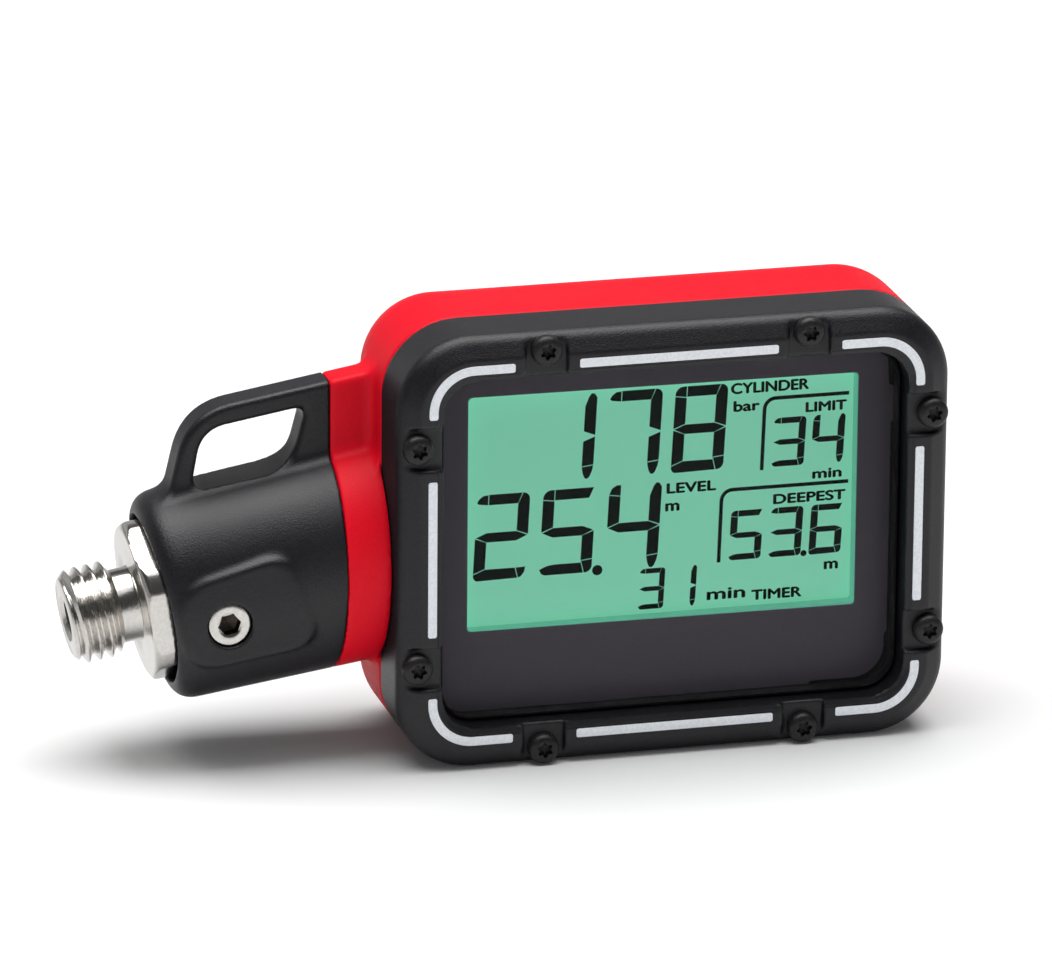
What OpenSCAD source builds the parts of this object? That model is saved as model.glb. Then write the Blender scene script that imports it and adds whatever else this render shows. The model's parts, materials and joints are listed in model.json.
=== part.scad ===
// Console dive computer: a display housing on a swivelling high-pressure fitting.
// Millimetres. X runs to the display's right, Z is the display's up, the display faces -Y.
// The pieces are drawn about the centre of the bezel's front face, and placed() then puts
// the origin under the middle of the whole object, with the housing standing on Z = 0.

/* [Housing] */
// Width of the housing
body_w = 70.8; // [68:0.2:76]
// Height of the housing
body_h = 56; // [54:0.2:60]
// Corner radius of the housing, seen from the front
body_r = 9.5; // [8:0.5:11]
// Distance from the bezel's face back to the seam between the bezel and the rear shell
bezel_depth = 10; // [9.5:0.1:11]
// Distance from the bezel's face back to the flat of the rear shell
body_depth = 27.4; // [27:0.1:30]
// Depth at which the rear shell starts to round towards its back
shell_side_depth = 19.5; // [18:0.5:21]
// Inset of the flat back from the housing's outline
back_inset = 5.6; // [4:0.2:7]

/* [Bezel] */
// Width of the opening over the lens
aperture_w = 59.6; // [58:0.2:60]
// Height of the opening over the lens
aperture_h = 45.2; // [44:0.2:46]
// Corner radius of that opening
aperture_r = 4.6; // [3:0.2:6]
// Width of the sloping band around the bezel's face
band_w = 2.7; // [2:0.1:3.2]
// How far the sloping band falls back
band_fall = 1.9; // [1:0.1:2.5]
// Thickness of the lip that holds the lens down
lip_t = 4.4; // [4:0.1:4.6]
// Width of the glow-in-the-dark strips
strip_w = 1.15; // [0.8:0.05:1.4]
// Depth of the strips in the bezel
strip_t = 0.8; // [0.5:0.1:1]

/* [Bezel screws] */
// Distance from the middle to the screws above and below the display, sideways
edge_screw_x = 16.8; // [15:0.1:18]
// Height of those screws above or below the middle
edge_screw_z = 25.9; // [25.7:0.05:26]
// Distance from the middle to the screws beside the display
side_screw_x = 33; // [32.8:0.05:33.2]
// Height of those screws above or below the middle
side_screw_z = 14.25; // [13:0.05:15]
// Radius of a screw head
screw_head_r = 1.95; // [1.8:0.05:2.1]
// Radius of a screw shank
screw_r = 1.1; // [1:0.05:1.15]
// Length of a screw under its head
screw_len = 12; // [10:0.5:13]
// Depth of the pocket that a screw head sits in
pocket_depth = 1; // [0.8:0.1:1.2]
// Radius of that pocket
pocket_r = 2.65; // [2.4:0.05:2.8]

/* [Display] */
// Width of the window in the printed mask
window_w = 50.2; // [48:0.2:51]
// Height of that window
window_h = 30.7; // [28:0.1:32]
// Height of the window's middle above the housing's middle
window_z = 3.25; // [3:0.05:3.5]
// Depth of the lens's front face behind the bezel's face
lens_front = 3; // [2.5:0.1:3.5]
// Depth of the lens's back face
lens_back = 8.2; // [8.1:0.05:8.3]

/* [Neck and handle] */
// Depth of the neck's centre line behind the bezel's face
neck_y = 16.1; // [15.8:0.1:16.2]
// Height of the neck's centre line where it leaves the housing
neck_z = -3.05; // [-3.5:0.05:-2.5]
// Angle by which the neck falls away to the left
neck_tilt = 9.4; // [8:0.1:10]
// Half height of the neck's oval section at the housing
neck_a = 13.95; // [13.5:0.05:14.2]
// Half depth of the neck's oval section at the housing
neck_b = 12.5; // [12.3:0.05:12.8]
// How much the oval's half height loses over each millimetre of neck
neck_taper = 0.022; // [0:0.002:0.03]
// Distance from the middle of the housing to the seam between red neck and black handle
seam_x = 40.95; // [40:0.05:42]
// Length of the neck and handle from the side of the housing
handle_len = 28.3; // [27:0.1:29]
// Thickness of the lanyard loop
loop_t = 4.8; // [4:0.1:5.5]
// Height of the loop's top above the neck's centre line
loop_top = 23.3; // [22:0.1:24]

/* [High-pressure fitting] */
// Width across the flats of the hexagon
hex_af = 19; // [18:0.5:20]
// Diameter that the hexagon's corners are turned down to
hex_d = 20.5; // [20:0.1:20.8]
// Distance along the neck to the hexagon's outer face
hex_front = 30.35; // [29:0.05:31]
// Distance along the neck to the tip of the thread
tip_at = 39.2; // [38:0.05:40]
// Major diameter of the hose thread
thread_d = 12; // [11.8:0.1:12.2]
// Length of the plain neck between the hexagon and the thread
undercut_len = 2.45; // [2:0.05:3]
// Diameter of the shaft that turns in the barrel
shaft_d = 10; // [9:0.2:10]
// Gap around the shaft, on the radius
running_gap = 0.04; // [0.02:0.01:0.08]

/* [Battery] */
// Diameter of the coin cell
cell_d = 24.5; // [24:0.1:24.5]
// Thickness of the coin cell
cell_t = 5; // [4.6:0.1:5]
// Diameter of the battery cap
cap_d = 28; // [27.6:0.1:28.4]
// Place of the battery to the right of the housing's middle
cap_x = 8; // [7:0.5:9]

/* [Hidden] */
$fn = 64;
red = [0.85, 0.03, 0.1];
black = [0.1, 0.1, 0.11];
steel = [0.75, 0.75, 0.77];
rubber = [0.05, 0.05, 0.05];
brass = [0.8, 0.65, 0.3];
sliver = 0.01;      // thickness of a section that a blend runs through
past = 1;           // how far a cutter runs past the face it cuts

// Places that several pieces share
half_w = body_w / 2;
half_h = body_h / 2;
side_x = -half_w - 0.1;                 // plane where the red neck starts, clear of the bezel
head_top = -0.45;                       // front of the bezel screw heads
screw_places = [
    for (x = [-edge_screw_x, edge_screw_x], z = [-edge_screw_z, edge_screw_z]) [x, z],
    for (x = [-side_screw_x, side_screw_x], z = [-side_screw_z, side_screw_z]) [x, z]
];
flange_w = aperture_w + 2.8;            // lens flange under the lip
flange_h = aperture_h + 2.8;
flange_r = 4;
cavity_w = aperture_w + 0.4;
cavity_h = aperture_h;
cavity_r = 4;
floor_y = 24.4;                         // inside of the rear shell's back wall
gasket_t = 0.7;
land_y = lens_back + gasket_t;          // front of the shell's sealing land
post_x = 25.6;                          // posts that carry the board
post_z = 18.8;
board_y = 14.8;                         // front of the board
board_t = 1;
lcd_y = 10.4;                           // front of the display's glass
guide_y = 12.6;                         // front of the light guide
barrel_r = 8;
barrel_start = 2;
barrel_end = 24.2;
bore_r = shaft_d / 2 + running_gap;
shaft_start = 8;
hex_back = 25.1;
hex_pocket_r = hex_d / 2 + 0.5;
hex_pocket_start = 24.2;
thread_start = hex_front + undercut_len;
chamfer = 1.1;
tip_r = thread_d / 2 - chamfer;
bore_mouth_r = 2.6;                     // socket for the hose's spool
bore_mouth_len = 7;
gas_hole_r = 0.6;
lock_x = -55.85;                        // cross screws that hold the fitting in
lock_z = -7.9;
lock_s = 21.05;                         // the same place, along the neck
lock_r = 1.5;
lock_head_r = 2.75;
lock_head_t = 3;
lock_front = 4.45;                      // front of the front screw's head
pad_y = 4.15;                           // front of the flat pad around it
lock_tip = 3.95;                        // distance of the screw tips from the shaft's centre
wire_hole_r = 2.2;
cell_y = 18.6;
cell_room_r = cell_d / 2 + 0.65;
cap_front = 24.2;
cap_back = body_depth - 0.05;
lug_y = [25.2, 26.4];
lug_r = cap_d / 2 + 1.2;
port_x = -17;                           // depth sensor's port in the back
port_z = -11;
tip_x = -half_w - tip_at * cos(neck_tilt) - tip_r * sin(neck_tilt);
mid_x = (tip_x + half_w) / 2;
mid_y = (head_top + body_depth) / 2;

// Puts the origin under the middle of the object
module placed() translate([-mid_x, -mid_y, half_h]) children();

// Puts local Z along the neck, pointing out of the housing; local X is the neck's up
module on_neck()
    translate([-half_w, neck_y, neck_z]) rotate([0, -neck_tilt - 90, 0]) children();

// Puts a round shape's local Z along +Y at a place on the housing
module facing_back(x, y, z) translate([x, y, z]) rotate([-90, 0, 0]) children();

// A rectangle with round corners, in the plane
module rounded(w, h, r) {
    square([w - 2 * r, h], center = true);
    square([w, h - 2 * r], center = true);
    for (x = [-1, 1], z = [-1, 1])
        translate([x * (w / 2 - r), z * (h / 2 - r)]) circle(r = r);
}

// A plate with round corners, standing from y0 back to y1
module plate(w, h, r, y0, y1, x = 0, z = 0)
    translate([x, y1, z]) rotate([90, 0, 0]) linear_extrude(y1 - y0) rounded(w, h, r);

// A rectangular block from y0 back to y1
module block(w, h, y0, y1, x = 0, z = 0)
    translate([x - w / 2, y0, z - h / 2]) cube([w, y1 - y0, h]);

// A flat ring about local Z
module ring(outer, inner, z0, z1)
    difference() {
        translate([0, 0, z0]) cylinder(r = outer, h = z1 - z0);
        translate([0, 0, z0 - past]) cylinder(r = inner, h = z1 - z0 + 2 * past);
    }

// A round-section ring about local Z
module oring(centre_r, section_r, at)
    translate([0, 0, at]) rotate_extrude() translate([centre_r, 0]) circle(r = section_r, $fn = 24);

// One slice of the neck's oval, s along the neck, drawn in by an amount
module oval(s, drawn_in = 0) {
    a = neck_a - neck_taper * s - drawn_in;
    translate([0, 0, s]) scale([1, (neck_b - neck_taper * s - drawn_in) / a, 1])
        cylinder(r = a, h = sliver);
}

// The outside of the lanyard loop, as a profile of height against place along the neck
module loop_outline() hull() {
    translate([loop_top - 4.4, 16.9]) circle(r = 4.4);
    translate([11.5, 22.5]) circle(r = 1.3);
    translate([loop_top - 0.8, 0.8]) circle(r = 0.8);
    translate([10, 0]) square([1, 1]);
}

// The opening in the loop
module loop_opening() hull() {
    translate([14.6, 19.4]) circle(r = 1.1);
    translate([18, 15.9]) circle(r = 2.7);
    translate([19.2, 6.9]) circle(r = 1.6);
    translate([16.6, 10.4]) circle(r = 3);
}

// A profile of the loop, given its thickness across the neck
module loop_solid(t) translate([0, t / 2, 0]) rotate([90, 0, 0]) linear_extrude(t) children();

// Everything that lies in one range of X
module x_range(x0, x1, y0 = -5)
    intersection() {
        children();
        translate([x0, y0, -half_h]) cube([x1 - x0, body_depth - y0, body_h]);
    }

module neck_solid() on_neck() hull() { oval(-6); oval(12); }

module rear_shell() color(red) difference() {
    union() {
        plate(body_w, body_h, body_r, bezel_depth, shell_side_depth);
        hull() {
            plate(body_w, body_h, body_r, shell_side_depth, shell_side_depth + sliver);
            plate(body_w - 1.6, body_h - 1.6, body_r - 0.8, 22.9, 22.9 + sliver);
            plate(body_w - 5, body_h - 5, body_r - 2.5, 25.6, 25.6 + sliver);
            plate(body_w - 8, body_h - 8, body_r - 4, 26.8, 26.8 + sliver);
            plate(body_w - 2 * back_inset, body_h - 2 * back_inset, body_r - back_inset,
                body_depth - sliver, body_depth);
        }
        plate(flange_w, flange_h, flange_r, land_y, bezel_depth + past);
        x_range(-seam_x, side_x) neck_solid();
        x_range(-seam_x, -half_w + 2.4, bezel_depth) neck_solid();
        x_range(-seam_x, -half_w + 2.4) on_neck() translate([0, 0, -6])
            loop_solid(loop_t) square([loop_top, 14]);
    }
    difference() {
        plate(cavity_w, cavity_h, cavity_r, land_y - past, floor_y);
        facing_back(cap_x, cell_y - 1.2, 0) cylinder(r = cell_room_r + 2.4, h = 10);
        facing_back(port_x, 19, port_z) cylinder(r = 5.4, h = 8);
        for (x = [-post_x, post_x], z = [-post_z, post_z])
            facing_back(x, board_y + board_t, z) cylinder(r = 2.4, h = 12);
    }
    for (p = screw_places)
        facing_back(p[0], bezel_depth - past, p[1]) cylinder(r = screw_r + 0.05, h = 5);
    for (x = [-post_x, post_x], z = [-post_z, post_z])
        facing_back(x, board_y, z) cylinder(r = 0.85, h = 6.5);
    // battery room, cap seat and the groove that its lugs turn in
    facing_back(cap_x, cell_y - 0.2, 0) cylinder(r = cell_room_r, h = 7);
    facing_back(cap_x, cap_front - 0.1, 0) cylinder(r = cap_d / 2 + running_gap, h = 5);
    facing_back(cap_x, lug_y[0] - 0.1, 0) cylinder(r = lug_r + 0.3, h = lug_y[1] - lug_y[0] + 0.2);
    facing_back(cap_x, lug_y[0] - 0.1, 0) rotate([0, 0, 45]) cap_lugs(4.6, 5);
    facing_back(cap_x, cell_y - 3, 0) cylinder(r = 0.8, h = 4);
    facing_back(cap_x, cell_y - 3, cell_d / 2 + 0.3) cylinder(r = 0.8, h = 4);
    // depth sensor's stepped port
    facing_back(port_x, 18, port_z) cylinder(r = 4.05, h = 4.1);
    facing_back(port_x, 18, port_z) cylinder(r = 3.05, h = 12);
    facing_back(port_x, body_depth - 1.3, port_z) cylinder(r = 4.7, h = 4);
    // barrel and wires
    on_neck() {
        translate([0, 0, barrel_start]) cylinder(r = barrel_r + 0.03, h = 14);
        translate([0, 0, 3.2]) cylinder(r = barrel_r + 1.23, h = 1.26);
        translate([0, 0, -9]) cylinder(r = wire_hole_r, h = 12);
    }
}

// Two lugs on opposite sides of the battery cap
module cap_lugs(w, h)
    for (side = [0, 180]) rotate([0, 0, side])
        translate([cap_d / 2 - 2, -w / 2, 0]) cube([lug_r - cap_d / 2 + 2, w, h]);

module front_bezel() color(black) difference() {
    union() {
        hull() {
            plate(body_w - 2 * band_w, body_h - 2 * band_w, body_r - band_w, 0, sliver);
            plate(body_w - 1.4, body_h - 1.4, body_r - 0.7, band_fall * 0.45, band_fall);
            plate(body_w, body_h, body_r, band_fall, band_fall + sliver);
        }
        plate(body_w, body_h, body_r, band_fall, bezel_depth - 0.05);
    }
    plate(aperture_w, aperture_h, aperture_r, -past, bezel_depth + past);
    plate(flange_w + 0.2, flange_h + 0.2, flange_r + 0.1, lip_t, bezel_depth + past);
    for (p = screw_places) {
        side = abs(p[0]) > edge_screw_x + past;
        w = side ? half_w - side_screw_x + 1.4 : 2 * pocket_r;
        h = side ? 2 * pocket_r : half_h - edge_screw_z + 1.4;
        facing_back(p[0], -past, p[1]) cylinder(r = pocket_r, h = past + pocket_depth);
        block(w, h, -past, pocket_depth,
            side ? sign(p[0]) * (side_screw_x - w / 2) : p[0],
            side ? p[1] : sign(p[1]) * (edge_screw_z - h / 2));
        facing_back(p[0], -past, p[1]) cylinder(r = screw_r + 0.05, h = bezel_depth + 2 * past);
    }
    straight_strip_solids();
    corner_strip_solids();
}

module bezel_screws() color(black) for (p = screw_places)
    facing_back(p[0], head_top, p[1]) difference() {
        union() {
            translate([0, 0, 0.5]) cylinder(r = screw_head_r, h = pocket_depth - head_top - 0.5);
            cylinder(r1 = screw_head_r - 0.55, r2 = screw_head_r, h = 0.5);
            translate([0, 0, pocket_depth - head_top]) cylinder(r = screw_r, h = screw_len);
        }
        translate([0, 0, -past]) cylinder(r = 1, h = past + 0.9, $fn = 6);
    }

// Strips along the four sides of the opening
module straight_strip_solids() {
    for (z = [-24.1, 24.1]) plate(25.4, strip_w, 0.3, -sliver, strip_t, 0, z);
    for (x = [-31.25, 31.25]) plate(strip_w, 20.2, 0.3, -sliver, strip_t, x, 0);
}

// Strips that turn around the four corners
module corner_strip_solids()
    for (x = [-1, 1], z = [-1, 1])
        translate([x * 25.95, strip_t, z * 18.85]) scale([x, 1, z])
            rotate([90, 0, 0]) linear_extrude(strip_t + sliver) difference() {
                union() {
                    intersection() { circle(r = 5.8); square([6, 6]); }
                    translate([-5.05, 5.8 - strip_w]) square([5.1, strip_w]);
                    translate([5.8 - strip_w, -0.75]) square([strip_w, 0.8]);
                }
                circle(r = 5.8 - strip_w);
            }

module straight_glow_strips() color("whitesmoke") straight_strip_solids();

module corner_glow_strips() color("whitesmoke") corner_strip_solids();

module lens() color([0.8, 0.9, 0.95, 0.3]) {
    plate(aperture_w - 0.5, aperture_h - 0.5, aperture_r - 0.25, lens_front, lens_back);
    plate(flange_w, flange_h, flange_r, lip_t + 0.1, lens_back);
}

module lens_gasket() color(rubber) difference() {
    plate(flange_w, flange_h, flange_r, lens_back, land_y);
    plate(cavity_w, cavity_h, cavity_r, lens_back - past, land_y + past);
}

module display_mask() color([0.17, 0.15, 0.18]) difference() {
    plate(aperture_w - 1, aperture_h - 0.8, 3.5, lens_back + 0.05, 8.6);
    block(window_w, window_h, lens_back - past, 9, 0, window_z);
    // notches that locate the mask on the frame behind it
    block(8, 0.6, lens_back - past, 9, 12, -(aperture_h - 0.8) / 2);
    block(0.6, 6, lens_back - past, 9, (aperture_w - 1) / 2, -10);
}

module lcd_panel() color([0.45, 0.72, 0.6]) {
    plate(window_w + 3, window_h + 2.6, 0.4, lcd_y, lcd_y + 1, 0, window_z);
    plate(window_w + 3, window_h + 6, 0.4, lcd_y + 1, lcd_y + 2.1, 0, window_z - 0.4);
}

module light_guide() color([0.6, 0.9, 0.6]) difference() {
    plate(window_w + 2, window_h + 2, 1, guide_y, guide_y + 1.5, 0, window_z);
    for (x = [-post_x, post_x]) facing_back(x, guide_y - past, post_z) cylinder(r = 2.1, h = 4);
}

module backlight_leds() color("white") for (x = [-18, 18])
    block(3.2, 1.1, guide_y + 0.1, guide_y + 1.4, x, window_z - window_h / 2 - 1.65);

module contact_strips() color([0.6, 0.4, 0.5])
    for (z = [window_z + window_h / 2 + 1.6, window_z - window_h / 2 - 2.8])
        block(44, 1, guide_y - 0.05, board_y, 0, z);

module display_frame() color([0.2, 0.2, 0.22]) difference() {
    plate(57, 41, 2, 8.7, board_y - 0.2);
    block(window_w + 3.2, window_h + 6.2, lcd_y - 0.05, board_y + past, 0, window_z - 0.4);
    block(window_w, window_h, 8, 14, 0, window_z);
    for (x = [-post_x, post_x], z = [-post_z, post_z])
        facing_back(x, 8, z) cylinder(r = 2.3, h = 8);
}

module main_board() color([0.05, 0.35, 0.15]) difference() {
    plate(57, 42, 1.5, board_y, board_y + board_t);
    for (x = [-post_x, post_x], z = [-post_z, post_z])
        facing_back(x, board_y - past, z) cylinder(r = 1.1, h = 4);
}

module board_parts() color([0.12, 0.12, 0.13]) {
    block(10, 10, board_y + board_t, board_y + board_t + 1.4, -13, 6);
    block(5, 4, board_y + board_t, board_y + board_t + 1, -22.5, 10);
    block(6, 2.4, board_y + board_t, board_y + board_t + 1.6, -8, 17);
    block(3.8, 4.6, board_y + board_t, board_y + board_t + 2.4, -26.4, -1.7);
    for (x = [-14:3:16]) block(1.6, 0.8, board_y + board_t, board_y + board_t + 0.7, x, -19);
}

module board_screws() color(steel) for (x = [-post_x, post_x], z = [-post_z, post_z])
    facing_back(x, board_y - 1.2, z) {
        cylinder(r = 1.8, h = 1.2);
        cylinder(r = 0.8, h = 7);
    }

module battery_cell() color([0.8, 0.8, 0.8]) facing_back(cap_x, cell_y + 0.25, 0) {
    cylinder(r = cell_d / 2 - 1.5, h = 1);
    translate([0, 0, 0.6]) cylinder(r = cell_d / 2, h = cell_t - 0.6);
}

module cell_contact_negative() color(brass) facing_back(cap_x, board_y + board_t, 0) {
    cylinder(r = 0.7, h = cell_y - board_y - board_t + 0.05);
    translate([0, 0, cell_y - board_y - board_t - 0.15]) cylinder(r = 3, h = 0.35);
}

module cell_contact_positive() color(brass) facing_back(cap_x, board_y + board_t, cell_d / 2 + 0.3) {
    cylinder(r = 0.7, h = cell_y - board_y - board_t);
    translate([-2, -0.2, cell_y - board_y - board_t - 0.1]) cube([4, 0.35, 4.4]);
}

module battery_cap() color(black) facing_back(cap_x, cap_front, 0) difference() {
    union() {
        cylinder(r = cap_d / 2, h = cap_back - cap_front);
        translate([0, 0, lug_y[0] - cap_front]) cap_lugs(4.2, lug_y[1] - lug_y[0]);
    }
    translate([-9, -0.9, cap_back - cap_front - 1.3]) cube([18, 1.8, 3]);
    ring(cap_d / 2 + past, cap_d / 2 - 0.75, 0.15, 0.95);
}

module battery_cap_oring() color(rubber)
    facing_back(cap_x, cap_front + 0.55, 0) oring(cap_d / 2 - 0.37, 0.36, 0);

module handle_shroud() color(black) difference() {
    union() {
        x_range(-half_w - 50, -seam_x - 0.05) on_neck() hull() {
            oval(0);
            oval(handle_len - 2.6);
            oval(handle_len - 1.4, 0.4);
            oval(handle_len - 0.5, 1.2);
            oval(handle_len - sliver, 2.2);
        }
        x_range(-half_w - 50, -seam_x - 0.05) on_neck() loop_solid(loop_t) loop_outline();
        // flat pad around the front screw
        on_neck() translate([0, -neck_y + 10, 0]) rotate([90, 0, 0]) linear_extrude(10 - pad_y)
            hull() {
                translate([-0.8, 21]) circle(r = 5.8);
                translate([4.7, 13.5]) circle(r = 1.2);
                translate([-6.6, 10]) square([1, 1]);
            }
    }
    on_neck() loop_solid(loop_t + 8) loop_opening();
    on_neck() cylinder(r = barrel_r + 0.03, h = handle_len + past);
    on_neck() translate([0, 0, hex_pocket_start]) cylinder(r = hex_pocket_r, h = 5);
    lock_screw_solids(0.06);
}

// The two cross screws, front and back, larger by a gap
module lock_screw_solids(gap = 0) {
    y0 = lock_front;
    y1 = body_depth - 0.2;
    facing_back(lock_x, y0 - (gap > 0 ? 3 : 0), lock_z)
        cylinder(r = lock_head_r + gap, h = lock_head_t + (gap > 0 ? 3 : 0));
    facing_back(lock_x, y0, lock_z) cylinder(r = lock_r + gap, h = neck_y - lock_tip - y0);
    facing_back(lock_x, y1 - lock_head_t, lock_z) cylinder(r = lock_head_r + gap, h = lock_head_t
        + (gap > 0 ? 3 : 0));
    facing_back(lock_x, neck_y + lock_tip, lock_z)
        cylinder(r = lock_r + gap, h = y1 - neck_y - lock_tip);
}

module handle_screws() color(steel) difference() {
    lock_screw_solids();
    facing_back(lock_x, lock_front - past, lock_z) cylinder(r = 1.443, h = past + 1.6, $fn = 6);
    facing_back(lock_x, body_depth - 1.8, lock_z) cylinder(r = 1.443, h = past + 1.6, $fn = 6);
}

module pressure_barrel() color(steel) difference() {
    on_neck() {
        ring(barrel_r, bore_r, barrel_start, barrel_end);
        ring(barrel_r + 1.2, barrel_r - past, 3.2 + running_gap, 4.4);
    }
    facing_back(lock_x, -past, lock_z) cylinder(r = lock_r + 0.05, h = body_depth + 2 * past);
}

module pressure_sensor() color(steel) on_neck() difference() {
    translate([0, 0, 3.6]) cylinder(r = bore_r - 0.03, h = 3.6);
    ring(bore_r + past, 3.9, 4.8, 6.2);
}

module pressure_sensor_oring() color(rubber) on_neck() oring(4.45, 0.53, 5.5);

module sensor_nut() color(steel) on_neck() ring(bore_r - 0.03, wire_hole_r, barrel_start + 0.05, 3.55);

module sensor_wires() color("firebrick") on_neck() for (turn = [0, 90, 180])
    translate([0, 0.2, 0]) rotate([0, 0, turn]) translate([1, 0, -7])
        cylinder(r = 0.45, h = 10.6, $fn = 24);

module hose_fitting() color(steel) on_neck() difference() {
    union() {
        translate([0, 0, shaft_start]) cylinder(r = shaft_d / 2, h = hex_front - shaft_start);
        intersection() {
            translate([0, 0, hex_back])
                cylinder(r = hex_af / 2 / cos(30), h = hex_front - hex_back, $fn = 6);
            translate([0, 0, hex_back]) cylinder(r = hex_d / 2, h = hex_front - hex_back);
        }
        translate([0, 0, hex_front]) cylinder(r = 4.65, h = undercut_len);
        translate([0, 0, thread_start])
            cylinder(r = thread_d / 2, h = tip_at - chamfer - thread_start);
        translate([0, 0, tip_at - chamfer]) cylinder(r1 = thread_d / 2, r2 = tip_r, h = chamfer);
    }
    translate([0, 0, tip_at - bore_mouth_len]) cylinder(r = bore_mouth_r, h = bore_mouth_len + past);
    translate([0, 0, shaft_start - past]) cylinder(r = gas_hole_r, h = tip_at - shaft_start);
    for (s = [9.2, 12.6]) ring(shaft_d / 2 + past, 3.85, s, s + 2);
    ring(shaft_d / 2 + past, 3.4, lock_s - 1.75, lock_s + 1.75);
}

module fitting_orings() color(rubber) on_neck() for (s = [10.2, 13.6]) oring(4.42, 0.55, s);

module thrust_washer() color("ivory") on_neck()
    ring(9, shaft_d / 2 + 0.05, barrel_end + 0.05, hex_back - 0.05);

module depth_sensor() color(steel) facing_back(port_x, 18.6, port_z) {
    cylinder(r = 4, h = 2.3);
    cylinder(r = 3, h = 6.8);
}

module depth_sensor_oring() color(rubber) facing_back(port_x, 21.5, port_z) oring(3.53, 0.5, 0);

module depth_port_cover() color(black) facing_back(port_x, body_depth - 1.25, port_z) difference() {
    cylinder(r = 4.6, h = 1.2);
    for (z = [-1.8, 0, 1.8]) translate([-2.4, z - 0.4, -past]) cube([4.8, 0.8, 4]);
}

placed() rear_shell();
placed() front_bezel();
placed() bezel_screws();
placed() straight_glow_strips();
placed() corner_glow_strips();
placed() lens();
placed() lens_gasket();
placed() display_mask();
placed() lcd_panel();
placed() light_guide();
placed() backlight_leds();
placed() contact_strips();
placed() display_frame();
placed() main_board();
placed() board_parts();
placed() board_screws();
placed() battery_cell();
placed() cell_contact_negative();
placed() cell_contact_positive();
placed() battery_cap();
placed() battery_cap_oring();
placed() handle_shroud();
placed() handle_screws();
placed() pressure_barrel();
placed() pressure_sensor();
placed() pressure_sensor_oring();
placed() sensor_nut();
placed() sensor_wires();
placed() hose_fitting();
placed() fitting_orings();
placed() thrust_washer();
placed() depth_sensor();
placed() depth_sensor_oring();
placed() depth_port_cover();
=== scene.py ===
import json
import math

import bpy
import numpy as np
from mathutils import Matrix, Vector


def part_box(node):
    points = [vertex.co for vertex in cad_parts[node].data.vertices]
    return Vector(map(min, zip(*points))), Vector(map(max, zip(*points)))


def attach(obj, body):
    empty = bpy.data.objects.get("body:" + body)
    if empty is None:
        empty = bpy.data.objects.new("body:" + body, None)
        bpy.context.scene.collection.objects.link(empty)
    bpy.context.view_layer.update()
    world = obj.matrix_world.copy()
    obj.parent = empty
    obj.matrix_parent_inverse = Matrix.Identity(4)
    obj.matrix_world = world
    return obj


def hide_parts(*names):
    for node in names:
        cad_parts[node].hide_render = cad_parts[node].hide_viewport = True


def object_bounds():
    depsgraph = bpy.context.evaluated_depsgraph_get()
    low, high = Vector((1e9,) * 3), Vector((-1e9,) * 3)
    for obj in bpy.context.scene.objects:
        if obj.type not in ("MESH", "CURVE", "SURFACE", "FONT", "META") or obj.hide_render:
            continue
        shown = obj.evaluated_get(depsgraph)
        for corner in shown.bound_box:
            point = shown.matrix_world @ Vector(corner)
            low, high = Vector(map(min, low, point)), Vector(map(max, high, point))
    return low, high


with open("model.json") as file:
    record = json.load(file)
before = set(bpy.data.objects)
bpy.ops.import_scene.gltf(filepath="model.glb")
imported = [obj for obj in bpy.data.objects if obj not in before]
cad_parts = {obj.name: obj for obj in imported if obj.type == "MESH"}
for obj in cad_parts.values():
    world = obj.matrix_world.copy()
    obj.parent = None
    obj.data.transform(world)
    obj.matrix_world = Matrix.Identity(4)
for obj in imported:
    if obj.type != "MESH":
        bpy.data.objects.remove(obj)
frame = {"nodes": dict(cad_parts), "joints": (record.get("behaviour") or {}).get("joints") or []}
cad_bounds = [list(corner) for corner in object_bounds()]

# -------------------- where things are
# Pieces are worked out in millimetres from the middle of the bezel's face: X to the
# display's right, Y back into the housing, Z up. metres() puts them in the frame.
MM = 0.001
BEZEL = [np.array(c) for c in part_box("front_bezel")]
FACE = np.array([(BEZEL[0][0] + BEZEL[1][0]) / 2, BEZEL[0][1], (BEZEL[0][2] + BEZEL[1][2]) / 2])


def metres(points):
    """Face millimetres to the frame's metres."""
    return np.asarray(points, float) * MM + FACE


def face_box(node):
    """A CAD node's lowest and highest corners in face millimetres."""
    return [(np.array(corner) - FACE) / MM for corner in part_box(node)]


def middle(box):
    """The point halfway between a box's two corners."""
    return (box[0] + box[1]) / 2


HALF_W, BEZEL_BACK, HALF_H = face_box("front_bezel")[1]
SHELL = face_box("rear_shell")
HANDLE = face_box("handle_shroud")
LENS = face_box("lens")
MASK = face_box("display_mask")
LCD = face_box("lcd_panel")
CAP = face_box("battery_cap")
PORT = face_box("depth_port_cover")
LOCK = face_box("handle_screws")
CAP_X = middle(CAP)[0]
PORT_X, _, PORT_Z = middle(PORT)
LOCK_X, _, LOCK_Z = middle(LOCK)
BACK = SHELL[1][1]
SEAM_X = SHELL[0][0]
CORNER_R = 9.5
SEAM_Y = 10.0

# The neck's own axes, from the joint that the fitting turns on
SWIVEL = next(j for j in frame["joints"] if j["name"] == "fitting_swivel")
ALONG = np.array(SWIVEL["axis"]) / np.linalg.norm(SWIVEL["axis"])
UPWARD = np.array([ALONG[2], 0.0, -ALONG[0]])
on_axis = (np.array(SWIVEL["pos_m"]) - FACE) / MM
NECK = on_axis - ALONG * (on_axis[0] + HALF_W) / ALONG[0]

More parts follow.
